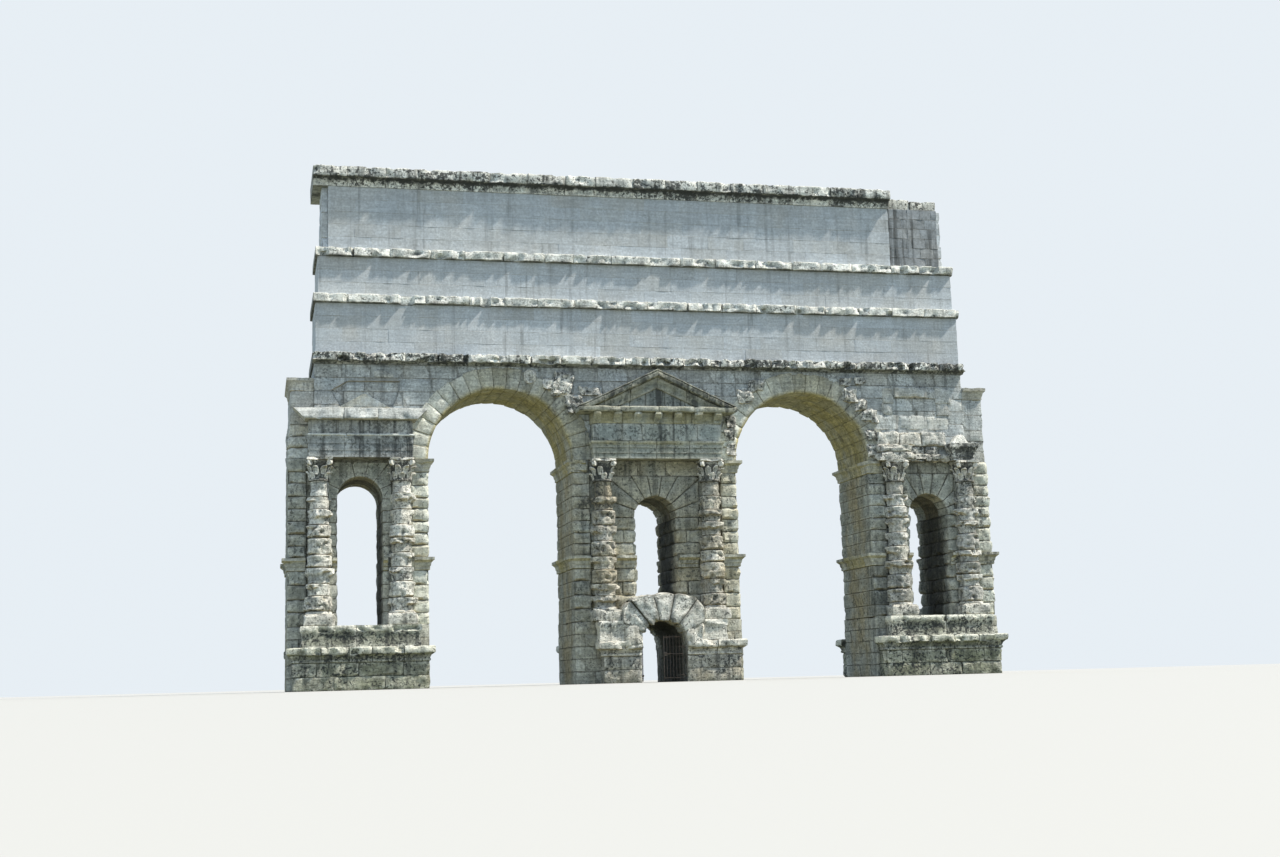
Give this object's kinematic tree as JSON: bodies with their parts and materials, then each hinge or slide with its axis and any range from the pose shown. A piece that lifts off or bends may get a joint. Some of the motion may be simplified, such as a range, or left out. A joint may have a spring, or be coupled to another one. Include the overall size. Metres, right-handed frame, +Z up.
{
  "type": "triumphal arch",
  "caption": "Monumental stone gate with side-by-side great arches, column-framed pier windows, a low gated passage and a tall stepped attic.",
  "frame": {"origin": "middle of the footprint at ground level", "axes": "+X along the front towards the right in the picture, +Y from the front face to the back, +Z up"},
  "size_m": [32.72, 6.2, 22.98],
  "materials": {
    "stone": "weathered",
    "gate_iron": "rusted"
  },
  "bodies": {
    "gate": {"left_pier": "stone", "centre_pier": "stone", "right_pier": "stone", "left_pier_imposts": "stone", "centre_pier_imposts": "stone", "right_pier_imposts": "stone", "spandrel_wall": "stone", "left_arch_ring": "stone", "right_arch_ring": "stone", "left_wing": "stone", "right_wing": "stone", "main_cornice": "stone", "attic_lower_register": "stone", "lower_string_course": "stone", "attic_middle_register": "stone", "upper_string_course": "stone", "attic_upper_register": "stone", "top_cornice": "stone", "broken_corner_blocks": "stone", "front_left_podium": "stone", "front_centre_podium": "stone", "front_right_podium": "stone", "front_left_columns": "stone", "front_centre_columns": "stone", "front_right_columns": "stone", "front_left_entablature": "stone", "front_centre_entablature": "stone", "front_right_entablature": "stone", "front_pediment": "stone", "back_left_podium": "stone", "back_centre_podium": "stone", "back_right_podium": "stone", "back_left_columns": "stone", "back_centre_columns": "stone", "back_right_columns": "stone", "back_left_entablature": "stone", "back_centre_entablature": "stone", "back_right_entablature": "stone", "back_pediment": "stone", "front_low_arch_ring": "stone", "back_low_arch_ring": "stone", "gate_hinge_pins": "gate_iron"},
    "left_leaf": {"left_gate_leaf": "gate_iron"},
    "right_leaf": {"right_gate_leaf": "gate_iron"}
  },
  "joints": [
    {"name": "left_leaf_hinge", "type": "hinge", "parent": "gate", "child": "left_leaf", "pos_m": [-0.92, -2.6, 0], "axis": [0, 0, 1], "range_deg": [-90, 0]},
    {"name": "right_leaf_hinge", "type": "hinge", "parent": "gate", "child": "right_leaf", "pos_m": [0.92, -2.6, 0], "axis": [0, 0, -1], "range_deg": [0, 90]}
  ]
}
